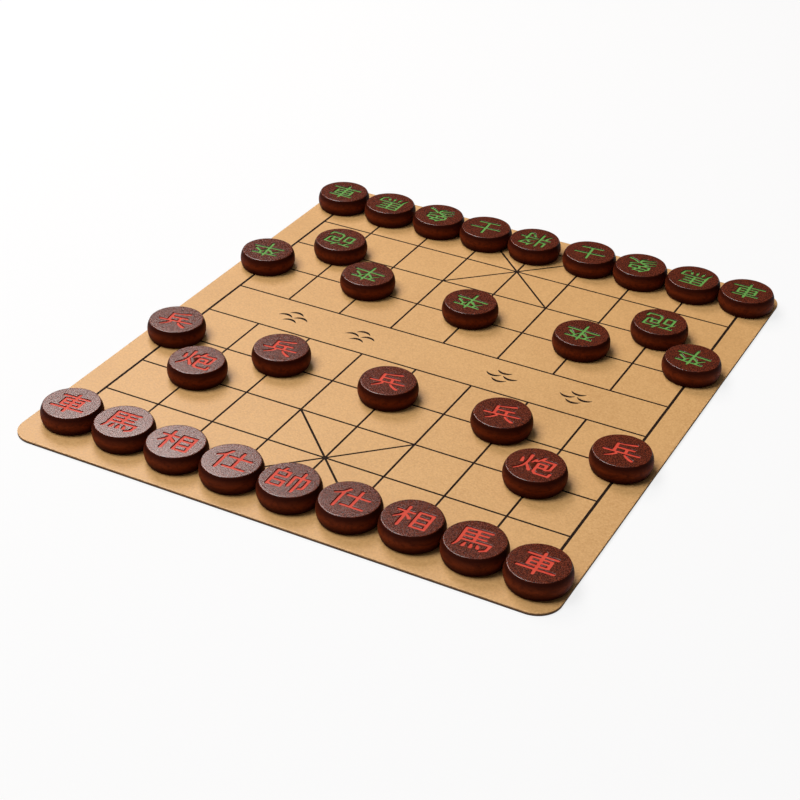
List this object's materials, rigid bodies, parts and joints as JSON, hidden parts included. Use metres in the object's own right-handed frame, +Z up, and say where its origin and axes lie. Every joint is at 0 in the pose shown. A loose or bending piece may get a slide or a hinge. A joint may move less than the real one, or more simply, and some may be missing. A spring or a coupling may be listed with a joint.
{
  "type": "xiangqi board set",
  "caption": "Flat leather-like board printed with a xiangqi grid, carrying carved, painted round wooden discs set out for the start of a game.",
  "frame": {"origin": "middle of the board's underside, on the surface that it lies on", "axes": "+Z up through the board, +Y from the red player's edge to the green player's, +X to the red player's right"},
  "size_m": [0.3684, 0.4264, 0.0148],
  "materials": {
    "face": "matt tan artificial leather with a fine grain, printed in dark brown",
    "backing": "dark brown napped artificial suede",
    "red_discs": "dark reddish brown stained wood under satin lacquer, characters painted red",
    "green_discs": "dark reddish brown stained wood under satin lacquer, characters painted green"
  },
  "bodies": {
    "board": {"board_backing": "backing", "board_face": "face"},
    "red_chariot_left": {"red_chariot_left": "red_discs"},
    "red_chariot_right": {"red_chariot_right": "red_discs"},
    "red_horse_left": {"red_horse_left": "red_discs"},
    "red_horse_right": {"red_horse_right": "red_discs"},
    "red_elephant_left": {"red_elephant_left": "red_discs"},
    "red_elephant_right": {"red_elephant_right": "red_discs"},
    "red_advisor_left": {"red_advisor_left": "red_discs"},
    "red_advisor_right": {"red_advisor_right": "red_discs"},
    "red_general": {"red_general": "red_discs"},
    "red_cannon_left": {"red_cannon_left": "red_discs"},
    "red_cannon_right": {"red_cannon_right": "red_discs"},
    "red_soldier_1": {"red_soldier_1": "red_discs"},
    "red_soldier_2": {"red_soldier_2": "red_discs"},
    "red_soldier_3": {"red_soldier_3": "red_discs"},
    "red_soldier_4": {"red_soldier_4": "red_discs"},
    "red_soldier_5": {"red_soldier_5": "red_discs"},
    "green_chariot_left": {"green_chariot_left": "green_discs"},
    "green_chariot_right": {"green_chariot_right": "green_discs"},
    "green_horse_left": {"green_horse_left": "green_discs"},
    "green_horse_right": {"green_horse_right": "green_discs"},
    "green_elephant_left": {"green_elephant_left": "green_discs"},
    "green_elephant_right": {"green_elephant_right": "green_discs"},
    "green_advisor_left": {"green_advisor_left": "green_discs"},
    "green_advisor_right": {"green_advisor_right": "green_discs"},
    "green_general": {"green_general": "green_discs"},
    "green_cannon_left": {"green_cannon_left": "green_discs"},
    "green_cannon_right": {"green_cannon_right": "green_discs"},
    "green_soldier_1": {"green_soldier_1": "green_discs"},
    "green_soldier_2": {"green_soldier_2": "green_discs"},
    "green_soldier_3": {"green_soldier_3": "green_discs"},
    "green_soldier_4": {"green_soldier_4": "green_discs"},
    "green_soldier_5": {"green_soldier_5": "green_discs"}
  },
  "joints": [
    {"name": "red_chariot_left_lift", "type": "slide", "parent": "board", "child": "red_chariot_left", "axis": [0, 0, 1], "range_m": [0, 0.06]},
    {"name": "red_chariot_right_lift", "type": "slide", "parent": "board", "child": "red_chariot_right", "axis": [0, 0, 1], "range_m": [0, 0.06]},
    {"name": "red_horse_left_lift", "type": "slide", "parent": "board", "child": "red_horse_left", "axis": [0, 0, 1], "range_m": [0, 0.06]},
    {"name": "red_horse_right_lift", "type": "slide", "parent": "board", "child": "red_horse_right", "axis": [0, 0, 1], "range_m": [0, 0.06]},
    {"name": "red_elephant_left_lift", "type": "slide", "parent": "board", "child": "red_elephant_left", "axis": [0, 0, 1], "range_m": [0, 0.06]},
    {"name": "red_elephant_right_lift", "type": "slide", "parent": "board", "child": "red_elephant_right", "axis": [0, 0, 1], "range_m": [0, 0.06]},
    {"name": "red_advisor_left_lift", "type": "slide", "parent": "board", "child": "red_advisor_left", "axis": [0, 0, 1], "range_m": [0, 0.06]},
    {"name": "red_advisor_right_lift", "type": "slide", "parent": "board", "child": "red_advisor_right", "axis": [0, 0, 1], "range_m": [0, 0.06]},
    {"name": "red_general_lift", "type": "slide", "parent": "board", "child": "red_general", "axis": [0, 0, 1], "range_m": [0, 0.06]},
    {"name": "red_cannon_left_lift", "type": "slide", "parent": "board", "child": "red_cannon_left", "axis": [0, 0, 1], "range_m": [0, 0.06]},
    {"name": "red_cannon_right_lift", "type": "slide", "parent": "board", "child": "red_cannon_right", "axis": [0, 0, 1], "range_m": [0, 0.06]},
    {"name": "red_soldier_1_lift", "type": "slide", "parent": "board", "child": "red_soldier_1", "axis": [0, 0, 1], "range_m": [0, 0.06]},
    {"name": "red_soldier_2_lift", "type": "slide", "parent": "board", "child": "red_soldier_2", "axis": [0, 0, 1], "range_m": [0, 0.06]},
    {"name": "red_soldier_3_lift", "type": "slide", "parent": "board", "child": "red_soldier_3", "axis": [0, 0, 1], "range_m": [0, 0.06]},
    {"name": "red_soldier_4_lift", "type": "slide", "parent": "board", "child": "red_soldier_4", "axis": [0, 0, 1], "range_m": [0, 0.06]},
    {"name": "red_soldier_5_lift", "type": "slide", "parent": "board", "child": "red_soldier_5", "axis": [0, 0, 1], "range_m": [0, 0.06]},
    {"name": "green_chariot_left_lift", "type": "slide", "parent": "board", "child": "green_chariot_left", "axis": [0, 0, 1], "range_m": [0, 0.06]},
    {"name": "green_chariot_right_lift", "type": "slide", "parent": "board", "child": "green_chariot_right", "axis": [0, 0, 1], "range_m": [0, 0.06]},
    {"name": "green_horse_left_lift", "type": "slide", "parent": "board", "child": "green_horse_left", "axis": [0, 0, 1], "range_m": [0, 0.06]},
    {"name": "green_horse_right_lift", "type": "slide", "parent": "board", "child": "green_horse_right", "axis": [0, 0, 1], "range_m": [0, 0.06]},
    {"name": "green_elephant_left_lift", "type": "slide", "parent": "board", "child": "green_elephant_left", "axis": [0, 0, 1], "range_m": [0, 0.06]},
    {"name": "green_elephant_right_lift", "type": "slide", "parent": "board", "child": "green_elephant_right", "axis": [0, 0, 1], "range_m": [0, 0.06]},
    {"name": "green_advisor_left_lift", "type": "slide", "parent": "board", "child": "green_advisor_left", "axis": [0, 0, 1], "range_m": [0, 0.06]},
    {"name": "green_advisor_right_lift", "type": "slide", "parent": "board", "child": "green_advisor_right", "axis": [0, 0, 1], "range_m": [0, 0.06]},
    {"name": "green_general_lift", "type": "slide", "parent": "board", "child": "green_general", "axis": [0, 0, 1], "range_m": [0, 0.06]},
    {"name": "green_cannon_left_lift", "type": "slide", "parent": "board", "child": "green_cannon_left", "axis": [0, 0, 1], "range_m": [0, 0.06]},
    {"name": "green_cannon_right_lift", "type": "slide", "parent": "board", "child": "green_cannon_right", "axis": [0, 0, 1], "range_m": [0, 0.06]},
    {"name": "green_soldier_1_lift", "type": "slide", "parent": "board", "child": "green_soldier_1", "axis": [0, 0, 1], "range_m": [0, 0.06]},
    {"name": "green_soldier_2_lift", "type": "slide", "parent": "board", "child": "green_soldier_2", "axis": [0, 0, 1], "range_m": [0, 0.06]},
    {"name": "green_soldier_3_lift", "type": "slide", "parent": "board", "child": "green_soldier_3", "axis": [0, 0, 1], "range_m": [0, 0.06]},
    {"name": "green_soldier_4_lift", "type": "slide", "parent": "board", "child": "green_soldier_4", "axis": [0, 0, 1], "range_m": [0, 0.06]},
    {"name": "green_soldier_5_lift", "type": "slide", "parent": "board", "child": "green_soldier_5", "axis": [0, 0, 1], "range_m": [0, 0.06]}
  ]
}
